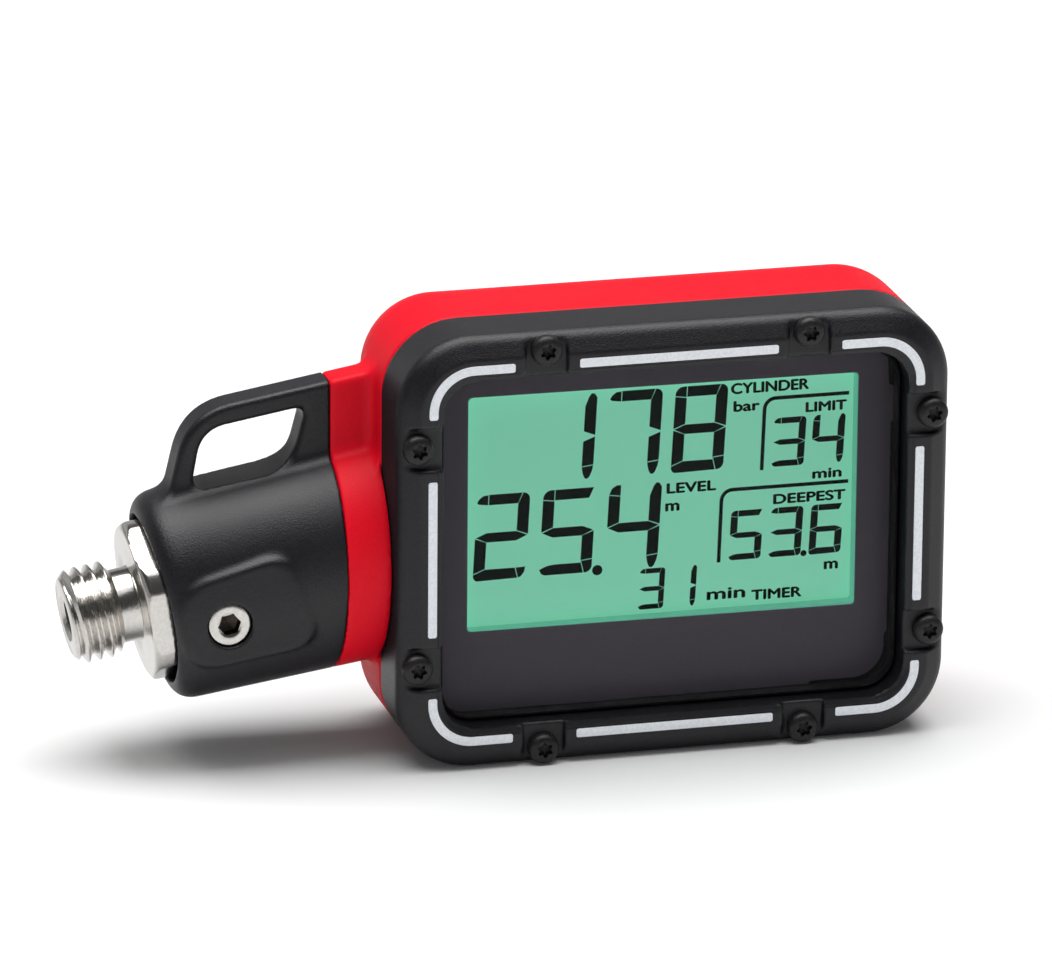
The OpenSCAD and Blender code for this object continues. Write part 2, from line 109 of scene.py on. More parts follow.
# Rectangles with round corners: half width, half height, corner radius
APERTURE = (29.8, 22.6, 4.6)
CAVITY = (30.0, 22.6, 4.0)
CAVITY_BACK = 24.0
NECK_A, NECK_B, NECK_TAPER = 13.95, 12.5, 0.022
HANDLE_END = 28.3
LOOP_HALF = 2.4
LOOP_TOP = 23.3
LOOP_HOLE_HALF = 3.2
BARREL_R = 8.03
HEX_POCKET = (24.2, 10.75)
CAP_R, CAP_SEAT_R, CAP_SEAT_FRONT = 14.0, 14.06, 24.1
PORT_R, PORT_SEAT_R = 4.6, 4.72
POCKET_R, POCKET_FLOOR, POCKET_REACH = 2.65, 1.0, 6.0
LOCK_HOLE_R, LOCK_HOLE_DEPTH = 2.86, 3.0


def along_neck(p):
    """Distance along the neck, height above its axis and depth behind it, for points in face mm."""
    rel = p - NECK
    return rel @ ALONG, rel @ UPWARD, rel[..., 1]


# -------------------- meshes
def add_mesh(name, points, faces, material, body="housing", sharp=35):
    """A mesh piece from points in face mm, smooth except at edges sharper than an angle."""
    mesh = bpy.data.meshes.new(name)
    mesh.from_pydata(metres(points).tolist(), [], [list(f) for f in faces])
    mesh.update()
    mesh.shade_smooth()
    if sharp:
        mesh.set_sharp_from_angle(angle=math.radians(sharp))
    mesh.materials.append(material)
    piece = bpy.data.objects.new(name, mesh)
    bpy.context.scene.collection.objects.link(piece)
    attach(piece, body)
    return piece


def grid_faces(rows, columns, wrap=True):
    """Quads between neighbouring rows of points; each row closes on itself when wrap is true."""
    r = np.arange(rows - 1)[:, None]
    c = np.arange(columns if wrap else columns - 1)[None, :]
    n = (c + 1) % columns
    quads = np.stack([r * columns + c, r * columns + n, (r + 1) * columns + n, (r + 1) * columns + c], -1)
    return quads.reshape(-1, 4)


def closed_rows(rows):
    """Points and outward faces of a stack of closed rows with both ends capped; rows is (R, C, 3)."""
    count, columns = rows.shape[:2]
    points, quads = rows.reshape(-1, 3), grid_faces(count, columns)
    faces = quads.tolist()
    faces.append(list(range(columns))[::-1])
    faces.append([(count - 1) * columns + k for k in range(columns)])
    a, b, c, d = (points[quads[:, k]] - points.mean(0) for k in range(4))
    if (np.cross(c - a, d - b) * (a + b + c + d)).sum() < 0:
        faces = [f[::-1] for f in faces]
    return points, faces


def skin(field, low, high, step):
    """Closed quad mesh where a distance field is zero. Each grid cell that the surface crosses gets
    a point at the mean of its edge crossings, which then slides along the field's slope on to it."""
    low, high = np.asarray(low, float), np.asarray(high, float)
    axes = [np.arange(a, b + step, step) for a, b in zip(low, high)]
    nodes = np.stack(np.meshgrid(*axes, indexing="ij"), axis=-1)
    value = field(nodes)
    cells = tuple(n - 1 for n in value.shape)
    total = np.zeros(cells + (3,))
    count = np.zeros(cells)
    crossings = []
    for axis in range(3):
        near, far = [slice(None)] * 3, [slice(None)] * 3
        near[axis], far[axis] = slice(None, -1), slice(1, None)
        a, b = value[tuple(near)], value[tuple(far)]
        at = np.argwhere((a < 0) != (b < 0))
        va, vb = a[tuple(at.T)], b[tuple(at.T)]
        point = low + at * step
        point[:, axis] += step * va / (va - vb)
        others = [k for k in range(3) if k != axis]
        corners = []
        for first, second in ((-1, -1), (0, -1), (0, 0), (-1, 0)):
            cell = at.copy()
            cell[:, others[0]] += first
            cell[:, others[1]] += second
            np.add.at(total, tuple(cell.T), point)
            np.add.at(count, tuple(cell.T), 1)
            corners.append(np.ravel_multi_index(tuple(cell.T), cells))
        quads = np.stack(corners, -1)
        turn = (va < 0) != (axis == 1)
        quads[~turn] = quads[~turn][:, ::-1]
        crossings.append(quads)
    used = np.flatnonzero(count.ravel())
    index = np.full(count.size, -1)
    index[used] = np.arange(len(used))
    points = total.reshape(-1, 3)[used] / count.ravel()[used][:, None]
    for _ in range(4):
        f = field(points)
        slope = np.stack([field(points + np.eye(3)[k] * 0.01) - f for k in range(3)], -1) / 0.01
        move = f[:, None] * slope / np.maximum((slope ** 2).sum(-1), 0.2)[:, None]
        points -= np.clip(move, -step / 2, step / 2)
    return points, index[np.concatenate(crossings)]


def smooth_max(a, b, k):
    """The larger of two fields, with the edge between them rounded over about k."""
    h = np.maximum(k - np.abs(a - b), 0) / k
    return np.maximum(a, b) + h * h * k / 4


def smooth_min(a, b, k):
    """The smaller of two fields, with a fillet of about k where they meet."""
    return -smooth_max(-a, -b, k)


def round_rect(x, z, half_w, half_h, r):
    """Distance to a rectangle with round corners, negative inside."""
    qx, qz = np.abs(x) - half_w + r, np.abs(z) - half_h + r
    return np.hypot(np.maximum(qx, 0), np.maximum(qz, 0)) + np.minimum(np.maximum(qx, qz), 0) - r


def outline(half_w, half_h, r, y, arc=12, side=10):
    """Points around a rectangle with round corners, anticlockwise seen from the front."""
    quarter = np.radians(np.linspace(0, 90, arc))
    corners = []
    for turn, (sx, sz) in enumerate(((1, 1), (-1, 1), (-1, -1), (1, -1))):
        angle = quarter + math.pi / 2 * turn
        corners.append(np.stack([sx * (half_w - r) + r * np.cos(angle),
                                 sz * (half_h - r) + r * np.sin(angle)], -1))
    ring = []
    for k in range(4):
        ring.append(corners[k])
        t = np.linspace(0, 1, side + 2)[1:-1, None]
        ring.append(corners[k][-1] * (1 - t) + corners[(k + 1) % 4][0] * t)
    ring = np.concatenate(ring)
    return np.stack([ring[:, 0], np.full(len(ring), float(y)), ring[:, 1]], -1)


def turned(rows, centre, axis, across, columns=72):
    """A turned surface: rows of (height along the axis, radius or function of angle), capped at its ends."""
    axis, across = np.asarray(axis, float), np.asarray(across, float)
    third = np.cross(axis, across)
    angle = np.linspace(0, 2 * math.pi, columns, endpoint=False)
    grid = []
    for height, radius in rows:
        r = radius(angle) if callable(radius) else np.full(columns, float(radius))
        h = height(angle) if callable(height) else np.full(columns, float(height))
        grid.append(centre + h[:, None] * axis
                    + (r * np.cos(angle))[:, None] * across + (r * np.sin(angle))[:, None] * third)
    return closed_rows(np.array(grid))


def joined(parts):
    """Several (points, faces) pairs as one."""
    points, faces, start = [], [], 0
    for p, f in parts:
        points.append(np.asarray(p))
        faces += [[k + start for k in face] for face in f]
        start += len(p)
    return np.concatenate(points), faces


# -------------------- finishes
def node_group(name, inputs, output_names, build):
    """A shader node group with float inputs and the named outputs; build(tree, start, end) wires it."""
    tree = bpy.data.node_groups.new(name, "ShaderNodeTree")
    for label, value in inputs.items():
        socket = tree.interface.new_socket(label, in_out="INPUT", socket_type="NodeSocketFloat")
        socket.default_value = value
    for label in output_names:
        tree.interface.new_socket(label, in_out="OUTPUT", socket_type="NodeSocketFloat")
    start, end = tree.nodes.new("NodeGroupInput"), tree.nodes.new("NodeGroupOutput")
    build(tree, start, end)
    return tree


def new_node(tree, kind, **values):
    """A node with its settings and unlinked inputs; names with a capital are inputs."""
    node = tree.nodes.new("ShaderNode" + kind)
    for key, value in values.items():
        label = key.replace("_", " ")
        if label in node.inputs:
            node.inputs[label].default_value = value
        else:
            setattr(node, key, value)
    return node


def color_sockets(sockets):
    """Those of a node's inputs or outputs that carry a color."""
    return [socket for socket in sockets if socket.type == "RGBA"]


def grain_wiring(tree, start, end):
    """Two sizes of noise in the object's own coordinates: fine spark grain and slow cloudiness."""
    place = new_node(tree, "TexCoord")
    fine = new_node(tree, "TexNoise", Detail=2.0, Roughness=0.6)
    slow = new_node(tree, "TexNoise", Detail=3.0, Scale=90.0)
    tree.links.new(place.outputs["Object"], fine.inputs["Vector"])
    tree.links.new(place.outputs["Object"], slow.inputs["Vector"])
    tree.links.new(start.outputs["Scale"], fine.inputs["Scale"])
    spread = new_node(tree, "MapRange", From_Min=0.36, From_Max=0.64)
    tree.links.new(fine.outputs["Fac"], spread.inputs["Value"])
    tree.links.new(spread.outputs["Result"], end.inputs["Grain"])
    tree.links.new(slow.outputs["Fac"], end.inputs["Cloud"])


GRAIN = node_group("moulded_grain", {"Scale": 3000.0}, ["Grain", "Cloud"], grain_wiring)


def finish(name, color, roughness, metallic=0.0, grain_scale=3000.0, color_swing=0.15,
           rough_swing=0.1, bump=0.00002, second=None, **sockets):
    """A moulded, turned or painted surface: grain varies its colour and roughness, and bumps it."""
    material = bpy.data.materials.new(name)
    material.use_nodes = True
    tree = material.node_tree
    shader = tree.nodes["Principled BSDF"]
    shader.inputs["Metallic"].default_value = metallic
    for key, value in sockets.items():
        shader.inputs[key.replace("_", " ")].default_value = value
    grain = tree.nodes.new("ShaderNodeGroup")
    grain.node_tree = GRAIN
    grain.inputs["Scale"].default_value = grain_scale
    low = [c * (1 - color_swing) for c in color] + [1]
    high = [c * (1 + color_swing) for c in color] + [1]
    if second:
        high = list(second) + [1]
    blend = new_node(tree, "Mix", data_type="RGBA")
    for socket, value in zip(color_sockets(blend.inputs), (low, high)):
        socket.default_value = value
    tree.links.new(grain.outputs["Grain"], blend.inputs[0])
    tree.links.new(color_sockets(blend.outputs)[0], shader.inputs["Base Color"])
    rough = new_node(tree, "MapRange", To_Min=roughness - rough_swing, To_Max=roughness + rough_swing)
    tree.links.new(grain.outputs["Cloud"], rough.inputs["Value"])
    tree.links.new(rough.outputs["Result"], shader.inputs["Roughness"])
    if bump:
        relief = new_node(tree, "Bump", Strength=1.0, Distance=bump)
        tree.links.new(grain.outputs["Grain"], relief.inputs["Height"])
        tree.links.new(relief.outputs["Normal"], shader.inputs["Normal"])
    return material


def dim_when_bounced(material, shade):
    """Light that bounces off this finish on to its neighbours is dimmed, so it hardly tints them."""
    tree = material.node_tree
    shader = tree.nodes["Principled BSDF"]
    plain = shader.inputs["Base Color"].links[0].from_socket
    path = new_node(tree, "LightPath")
    bounced = new_node(tree, "Math", operation="MAXIMUM")
    tree.links.new(path.outputs["Is Glossy Ray"], bounced.inputs[0])
    tree.links.new(path.outputs["Is Diffuse Ray"], bounced.inputs[1])
    mix = new_node(tree, "Mix", data_type="RGBA")
    colors = color_sockets(mix.inputs)
    tree.links.new(bounced.outputs[0], mix.inputs[0])
    tree.links.new(plain, colors[0])
    colors[1].default_value = (*shade, 1)
    tree.links.new(color_sockets(mix.outputs)[0], shader.inputs["Base Color"])


RED = finish("red_soft_touch", (0.85, 0.001, 0.016), 0.5, grain_scale=4200, color_swing=0.04, bump=0.00001,
             Specular_IOR_Level=0.18)
dim_when_bounced(RED, (0.16, 0.02, 0.03))
BLACK = finish("black_moulding", (0.0085, 0.008, 0.011), 0.36, grain_scale=6000, color_swing=0.5,
               bump=0.000018, Specular_IOR_Level=0.5)
BLACK_SCREW = finish("blackened_screw", (0.02, 0.018, 0.018), 0.38, metallic=0.3, grain_scale=4200,
                     color_swing=0.3, bump=0.00001)
GLOW = finish("glow_strip", (0.89, 0.92, 0.97), 0.45, grain_scale=3200, color_swing=0.06, bump=0.00001)
PRINT = finish("printed_mask", (0.135, 0.119, 0.146), 0.5, grain_scale=5000, color_swing=0.04, bump=0,
               Specular_IOR_Level=0.05)
# The display's green is its own colour. Its glow is painted light, standing in for the studio light that
# reaches it through the lens
LCD_PAINTED_GLOW = finish("lcd_green", (0.24, 0.7, 0.5), 0.5, grain_scale=900, color_swing=0.01, bump=0,
                   Specular_IOR_Level=0.05, Emission_Color=(0.11, 0.315, 0.22, 1), Emission_Strength=1.0)
# The rim's walls glow a dimmer green than the display: painted light and shade for the walls of the display's
# recess
LCD_RIM_PAINTED_GLOW = finish("lcd_rim", (0.1, 0.36, 0.26), 0.5, grain_scale=900, color_swing=0.05, bump=0,
                  Specular_IOR_Level=0.05, Emission_Color=(0.07, 0.25, 0.175, 1), Emission_Strength=1.0)
SEGMENT = finish("lcd_segment", (0.004, 0.01, 0.008), 0.5, grain_scale=900, color_swing=0.05, bump=0,
                 Specular_IOR_Level=0.05)
STEEL = finish("turned_stainless", (0.76, 0.735, 0.7), 0.18, metallic=1.0, grain_scale=2500,
               color_swing=0.06, rough_swing=0.06, bump=0.000004)
# Dark metal for the screw recesses: painted shade
RECESS_SHADE = finish("screw_socket", (0.11, 0.09, 0.075), 0.45, metallic=1.0, grain_scale=2500, bump=0.000004)
RUBBER = finish("black_rubber", (0.012, 0.012, 0.012), 0.7, grain_scale=2400, bump=0.00001)
DARK = finish("inner_moulding", (0.03, 0.03, 0.033), 0.55, grain_scale=1800, bump=0.00002)
GUIDE = finish("frosted_guide", (0.5, 0.62, 0.52), 0.5, grain_scale=1500, bump=0.00001)
BOARD = finish("board_mask", (0.01, 0.12, 0.05), 0.35, grain_scale=500, second=(0.03, 0.2, 0.08),
               bump=0.00001)
CHIP = finish("chip_resin", (0.02, 0.02, 0.02), 0.6, grain_scale=3000, bump=0.00001)
BRASS = finish("contact_brass", (0.72, 0.52, 0.22), 0.28, metallic=1.0, grain_scale=2000, bump=0.000004)
CELL = finish("cell_can", (0.62, 0.62, 0.61), 0.3, metallic=1.0, grain_scale=1200, bump=0.000005)
WIRE = finish("wire_insulation", (0.45, 0.02, 0.02), 0.4, grain_scale=2000, bump=0.00001)
WASHER = finish("washer_white", (0.72, 0.7, 0.62), 0.5, grain_scale=2000, bump=0.00001)
ELASTOMER = finish("contact_rubber", (0.2, 0.1, 0.12), 0.6, grain_scale=700, second=(0.03, 0.02, 0.02),
                   bump=0)


def clear_window():
    """Polished clear plastic. Shadow rays pass straight through, so the display behind is lit."""
    material = bpy.data.materials.new("clear_window")
    material.use_nodes = True
    tree = material.node_tree
    shader = tree.nodes["Principled BSDF"]
    for label, value in (("Base Color", (1, 1, 1, 1)), ("Roughness", 0.0), ("IOR", 1.49),
                         ("Specular Tint", (0.1, 0.1, 0.1, 1)), ("Transmission Weight", 1.0)):
        shader.inputs[label].default_value = value
    clear = new_node(tree, "BsdfTransparent")
    path = new_node(tree, "LightPath")
    either = new_node(tree, "MixShader")
    tree.links.new(path.outputs["Is Shadow Ray"], either.inputs[0])
    tree.links.new(shader.outputs[0], either.inputs[1])
    tree.links.new(clear.outputs[0], either.inputs[2])
    tree.links.new(either.outputs[0], tree.nodes["Material Output"].inputs["Surface"])
    return material


WINDOW = clear_window()
# Black for the lens's sides and the sheet behind the mask: painted shade for the dark gap between the mask
# and the bezel's lip
GAP_SHADE = finish("lens_edge", (0.004, 0.004, 0.004), 0.6, grain_scale=2000, bump=0)


# -------------------- housing
def red_shell_field(p):
    """The shell: a rounded box behind the seam, its oval neck and the block under the lanyard loop."""
    x, y, z = p[..., 0], p[..., 1], p[..., 2]
    side = round_rect(x, z, HALF_W, HALF_H, CORNER_R)
    turn_in, turn_from = 5.6, 19.5
    lean = turn_in / (BACK - turn_from)
    box = np.hypot(np.maximum(side + turn_in, 0), np.maximum((y - turn_from) * lean, 0)) - turn_in
    box = smooth_max(box, SEAM_Y - y, 0.3)
    s, up, back = along_neck(p)
    a, b = NECK_A - NECK_TAPER * s, NECK_B - NECK_TAPER * s
    neck = (np.hypot(up / a, back / b) - 1) * b
    neck = smooth_max(neck, y - BACK, 1.2)
    neck = smooth_max(neck, x + HALF_W - 3, 0.1)
    block = smooth_max(smooth_max(np.abs(back) - LOOP_HALF, up - LOOP_TOP, 1.0), -up, 0.1)
    block = smooth_max(block, x + HALF_W - 3, 0.1)
    limb = smooth_min(neck, block, 1.2)
    limb = smooth_max(limb, SEAM_X - x, 0.3)
    whole = np.maximum(smooth_min(box, limb, 1.6), y - BACK)
    whole = smooth_max(whole, np.minimum(SEAM_Y - y, x + HALF_W + 0.12), 0.25)
    whole = np.maximum(whole, SEAM_X - x)
    tongue = np.maximum(side + 0.35, np.abs(y - SEAM_Y - 0.3) - 0.8)
    whole = np.minimum(whole, tongue)
    cavity = np.maximum(round_rect(x, z, *CAVITY), y - CAVITY_BACK)
    bore = np.maximum(np.hypot(up, back) - BARREL_R, 2.0 - s)
    seat = np.maximum(np.hypot(x - CAP_X, z) - CAP_SEAT_R, CAP_SEAT_FRONT - y)
    port = np.maximum(np.hypot(x - PORT_X, z - PORT_Z) - PORT_SEAT_R, PORT[0][1] - 0.1 - y)
    whole = np.maximum(whole, -cavity)
    whole = np.maximum(whole, -bore)
    return smooth_max(smooth_max(whole, -seat, 0.35), -port, 0.35)


# Where each bezel screw stands, and which way is outwards there
SCREW_PLACES = [(x, z, (0, np.sign(z))) for x in (-16.8, 16.8) for z in (-25.9, 25.9)]
SCREW_PLACES += [(x, z, (np.sign(x), 0)) for x in (-33.0, 33.0) for z in (-14.25, 14.25)]


def bezel_field(p):
    """The bezel: a frame whose outer band falls away, with a stepped lip and eight screw pockets."""
    x, y, z = p[..., 0], p[..., 1], p[..., 2]
    side = round_rect(x, z, HALF_W, HALF_H, CORNER_R)
    band, fall = 2.7, 1.55
    out = np.clip(1 + side / band, 0, 1)
    hole = round_rect(x, z, *APERTURE)
    step = 0.28 * np.clip((0.75 - hole) / 0.2, 0, 1)
    front = fall * out + step - y
    ring = smooth_max(side, front, 1.1)
    ring = smooth_max(ring, y - BEZEL_BACK, 0.25)
    ring = smooth_max(ring, -hole, 0.3)
    for sx, sz, outward in SCREW_PLACES:
        end_x, end_z = sx - outward[0] * POCKET_REACH, sz - outward[1] * POCKET_REACH
        t = np.clip(((x - sx) * (end_x - sx) + (z - sz) * (end_z - sz)) / POCKET_REACH ** 2, 0, 1)
        slot = np.hypot(x - sx - t * (end_x - sx), z - sz - t * (end_z - sz)) - POCKET_R
        ring = smooth_max(ring, -smooth_max(slot, y - POCKET_FLOOR, 0.35), 0.4)
    return ring


def pad_field(s, up, y):
    """The flat pad around the front screw: level with the sleeve's front, proud above and below it."""
    brow = (up - 6.1 + (s - 12.5) * 0.12) / math.hypot(1, 0.12)
    outer = smooth_max(smooth_max(brow, s - 27.0, 5.0), -6.7 - up, 5.0)
    outer = smooth_max(outer, 12.0 - s + np.minimum(up - 3, 0) * 0.2, 4.0)
    return smooth_max(smooth_max(outer, 3.72 + 0.022 * s - y, 0.9), y - 12, 0.1)


def handle_field(p):
    """The handle: an oval sleeve with a rounded end, its lanyard loop and its flat pad."""
    x, y = p[..., 0], p[..., 1]
    s, up, back = along_neck(p)
    a, b = NECK_A - NECK_TAPER * s, NECK_B - NECK_TAPER * s
    sleeve = (np.hypot(up / a, back / b) - 1) * b
    sleeve = smooth_max(sleeve, s - HANDLE_END, 3.2)
    leg = ((s - 22.4) + (up - 17.5) * 0.42) / math.hypot(1, 0.42)
    outer = smooth_max(smooth_max(up - LOOP_TOP, leg, 5.2), 8 - up, 0.1)
    left = ((s - 19.7) + (up - 17.5) * 0.36) / math.hypot(1, 0.36)
    right = ((6.6 - s) - (up - 17.5) * 0.45) / math.hypot(1, 0.45)
    hole = smooth_max(smooth_max(left, up - 20.7, 3.0), smooth_max(right, 13.4 - up, 3.4), 1.8)
    loop = smooth_max(smooth_max(outer, np.abs(back) - LOOP_HALF, 0.9), -hole, 0.9)
    sleeve = smooth_min(sleeve, pad_field(s, up, y), 0.9)
    whole = smooth_min(sleeve, loop, 1.5)
    whole = np.maximum(whole, -np.maximum(hole, np.abs(back) - LOOP_HOLE_HALF))
    whole = smooth_max(whole, y - BACK, 1.0)
    whole = smooth_max(whole, x - SEAM_X + 0.04, 0.3)
    screw = np.hypot(x - LOCK_X, p[..., 2] - LOCK_Z) - LOCK_HOLE_R
    screw = np.maximum(screw, np.minimum(y - LOCK[0][1] - LOCK_HOLE_DEPTH, LOCK[1][1] - LOCK_HOLE_DEPTH - y))
    whole = smooth_max(whole, -screw, 0.3)
    pocket = np.maximum(np.hypot(up, back) - HEX_POCKET[1], HEX_POCKET[0] - s)
    bore = np.hypot(up, back) - BARREL_R
    return smooth_max(np.maximum(whole, -bore), -pocket, 0.3)


# How far beyond a piece's box its surface is looked for
SKIN_MARGIN = (1.01, 1.03)


def add_skin(name, field, low, high, step, material, node):
    """A piece whose surface is where a field is zero; it stands for one CAD node."""
    points, faces = skin(field, np.asarray(low) - SKIN_MARGIN[0], np.asarray(high) + SKIN_MARGIN[1], step)
    piece = add_mesh(name, points, faces, material, sharp=50)
    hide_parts(node)
    return piece


SHELL_STEP, BEZEL_STEP, HANDLE_STEP = ((0.42, 0.3, 0.25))
red_shell = add_skin("red_rear_shell", red_shell_field, *SHELL, SHELL_STEP, RED, "rear_shell")
bezel = add_skin("bezel_frame", bezel_field, (-HALF_W, 0, -HALF_H), (HALF_W, BEZEL_BACK, HALF_H),
                 BEZEL_STEP, BLACK, "front_bezel")
handle = add_skin("handle_with_loop", handle_field, *HANDLE, HANDLE_STEP, BLACK, "handle_shroud")


# -------------------- screws
def lobes(size):
    """A six-lobed recess: its radius swings six times round."""
    return lambda angle: size * (0.85 + 0.15 * np.cos(6 * angle))


def hexagon(flat, corner):
    """A hexagon across its flats with its corners turned down to a radius; a corner lies at angle 0."""
    return lambda angle: np.minimum(flat / np.cos(angle % (math.pi / 3) - math.pi / 6), corner)


# Screws from the end of the shank to the floor of the recess: height along the axis, radius
BEZEL_SCREW = [
    (-12.0, 0.7), (-11.6, 1.05), (0.0, 1.05), (0.0, 1.9), (0.08, 1.95), (0.62, 1.95), (0.85, 1.9),
    (1.08, 1.78), (1.26, 1.58), (1.38, 1.34), (1.43, 1.14), (1.45, 1.06), (1.43, lobes(1.03)),
    (1.36, lobes(1.0)), (0.55, lobes(0.96)), (0.45, lobes(0.6)), (0.38, 0.12)]
screws = []
for number, (sx, sz, _) in enumerate(SCREW_PLACES):
    turn = 0.6 + 1.9 * number
    across = (math.cos(turn), 0, math.sin(turn))
    screws.append(turned(BEZEL_SCREW, (sx, POCKET_FLOOR, sz), (0, -1, 0), across))
bezel_screws = add_mesh("six_lobe_bezel_screws", *joined(screws), BLACK_SCREW)
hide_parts("bezel_screws")

LOCK_SCREW = [
    (-7.6, 0.9), (-7.3, 1.35), (-3.0, 1.45), (-3.0, 2.68), (-2.9, 2.74), (-0.35, 2.74), (-0.12, 2.68),
    (0.0, 2.5), (0.0, 1.62), (-0.06, 1.5), (-0.14, hexagon(1.27, 1.44)), (-1.6, hexagon(1.25, 1.43)),
    (-1.75, 0.9), (-2.1, 0.1)]
front_turn = 0.2
lock_screws = add_mesh("handle_cross_screws", *joined([
    turned(LOCK_SCREW, (LOCK_X, LOCK[0][1], LOCK_Z), (0, -1, 0),
           (math.cos(front_turn), 0, math.sin(front_turn))),
    turned(LOCK_SCREW, (LOCK_X, LOCK[1][1], LOCK_Z), (0, 1, 0), (1, 0, 0))]), STEEL)
# The walls and floors of the two recesses have a darker metal: painted shade in the recesses
lock_screws.data.materials.append(RECESS_SHADE)
lock_middle = metres(middle(LOCK))
lock_reach = (LOCK[1][1] - LOCK[0][1]) / 2 * MM
for face in lock_screws.data.polygons:
    radius = math.hypot(face.center.x - lock_middle[0], face.center.z - lock_middle[2])
    depth = lock_reach - abs(face.center.y - lock_middle[1])
    face.material_index = 1 if radius < 1.5 * MM and 0.1 * MM < depth < 2.3 * MM else 0
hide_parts("handle_screws")


# -------------------- high-pressure fitting
FITTING = dict(tip=39.2, chamfer=1.1, crest=6.0, root=5.05, pitch=1.5, thread=32.8, hex_front=30.35,
               hex_back=25.1, hex_flat=9.5, hex_corner=10.25, neck=4.65, shaft=5.0, start=8.0)


def thread_radius(s):
    """Radius of a helical thread against angle at a place along it: flat crests, V flanks, round roots,
    faded into the chamfered tip and the runout at its root."""
    f = FITTING

    def radius(angle):
        phase = (s / f["pitch"] - angle / (2 * math.pi)) % 1.0
        tooth = np.clip(1.32 * (1 - np.abs(2 * phase - 1)) - 0.16, 0, 1)
        full = f["root"] + (f["crest"] - f["root"]) * tooth
        lead = f["crest"] - f["chamfer"] + (f["tip"] - s)
        run_out = f["neck"] + (s - f["thread"]) * 1.6
        return np.minimum(full, np.minimum(lead, np.maximum(run_out, f["neck"])))
    return radius


def fitting_rows():
    """The fitting from the floor of its bore, out over thread and hexagon, to the end of its shaft."""
    f = FITTING
    bore, mouth = 2.6, 7.0
    rows = [(f["tip"] - mouth - 0.8, 0.05), (f["tip"] - mouth - 0.1, bore - 0.3),
            (f["tip"] - mouth + 0.2, bore), (f["tip"] - 0.5, bore), (f["tip"] - 0.1, bore + 0.35),
            (f["tip"], bore + 0.5),
            (f["tip"], f["crest"] - f["chamfer"] - 0.12), (f["tip"] - 0.06, f["crest"] - f["chamfer"])]
    for s in np.linspace(f["tip"] - 0.1, f["thread"], 96):
        rows.append((s, thread_radius(s)))
    rows += [(f["thread"] - 0.05, f["neck"]), (f["hex_front"] + 0.45, f["neck"]),
             (f["hex_front"] + 0.12, f["neck"] + 0.14), (f["hex_front"], f["neck"] + 0.45),
             (f["hex_front"], 8.9)]
    for drop, corner in ((0.0, 9.28), (0.12, 9.55), (0.3, 9.82), (0.5, 10.06), (0.72, 10.2),
                         (0.95, f["hex_corner"])):
        rows.append((f["hex_front"] - drop, hexagon(f["hex_flat"] - (0.12 if drop == 0 else 0.0), corner)))
    for rise, corner in ((0.95, f["hex_corner"]), (0.4, 9.95), (0.0, 9.4)):
        rows.append((f["hex_back"] + rise, hexagon(f["hex_flat"], corner)))
    rows += [(f["hex_back"], f["shaft"] + 0.3), (f["hex_back"] - 0.25, f["shaft"])]
    # The wide groove that the tips of the cross screws run in, then the two O-ring grooves
    for low, high, floor in ((19.3, 22.8, 3.4), (12.6, 14.6, 3.85), (9.2, 11.2, 3.85)):
        rows += [(high + 0.05, f["shaft"]), (high, f["shaft"] - 0.08), (high, floor), (low, floor),
                 (low, f["shaft"] - 0.08), (low - 0.05, f["shaft"])]
    rows += [(f["start"] + 0.3, f["shaft"]), (f["start"], f["shaft"] - 0.3), (f["start"], 0.1)]
    return rows


points, faces = turned(fitting_rows(), NECK, ALONG, UPWARD, columns=144)
fitting = add_mesh("threaded_hose_fitting", points, faces, STEEL, body="swivel_fitting", sharp=32)
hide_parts("hose_fitting")


# -------------------- glow strips
def bar(path, half, top, bottom):
    """A bar with a softened top: its section follows a path of (x, z) points and is closed at its ends."""
    path = np.asarray(path, float)
    way = np.gradient(path, axis=0)
    way /= np.linalg.norm(way, axis=1)[:, None]
    across = np.stack([-way[:, 1], way[:, 0]], -1)
    section = [(-half, bottom), (-half, top + 0.1), (-half + 0.03, top + 0.03), (-half + 0.1, top),
               (half - 0.1, top), (half - 0.03, top + 0.03), (half, top + 0.1), (half, bottom)]
    rows = []
    for k, (point, side) in enumerate(zip(path, across)):
        end = min(k, len(path) - 1 - k)
        pinch = (0.72, 0.9, 1.0)[min(end, 2)]
        rows.append([(point[0] + side[0] * o * pinch, y, point[1] + side[1] * o * pinch) for o, y in section])
    return closed_rows(np.array(rows))


def eased(length, count):
    """Places along a straight stretch, crowded towards its ends so that they can round off."""
    inner = np.linspace(-length / 2 + 0.25, length / 2 - 0.25, count)
    return np.concatenate([[-length / 2, -length / 2 + 0.1], inner, [length / 2 - 0.1, length / 2]])


STRIP = (0.58, -0.09, 0.7)
STRIP_X, STRIP_Z = 31.25, 24.1
long_way, short_way = eased(25.4, 5), eased(20.2, 5)
straight = [bar(np.stack([long_way, np.full(9, z)], -1), *STRIP) for z in (-STRIP_Z, STRIP_Z)]
straight += [bar(np.stack([np.full(9, x), short_way], -1), *STRIP) for x in (-STRIP_X, STRIP_X)]
bend = np.radians(np.linspace(90, 0, 22))
bend_r = 5.8 - STRIP[0]
corner_way = np.concatenate([
    [(-5.05, bend_r), (-4.95, bend_r), (-4.8, bend_r), (-2.4, bend_r)],
    np.stack([bend_r * np.cos(bend), bend_r * np.sin(bend)], -1),
    [(bend_r, -0.5), (bend_r, -0.65), (bend_r, -0.75)]])
corners = []
for sx in (-1, 1):
    for sz in (-1, 1):
        way = np.stack([sx * (25.95 + corner_way[:, 0]), sz * (18.85 + corner_way[:, 1])], -1)
        corners.append(bar(way, *STRIP))
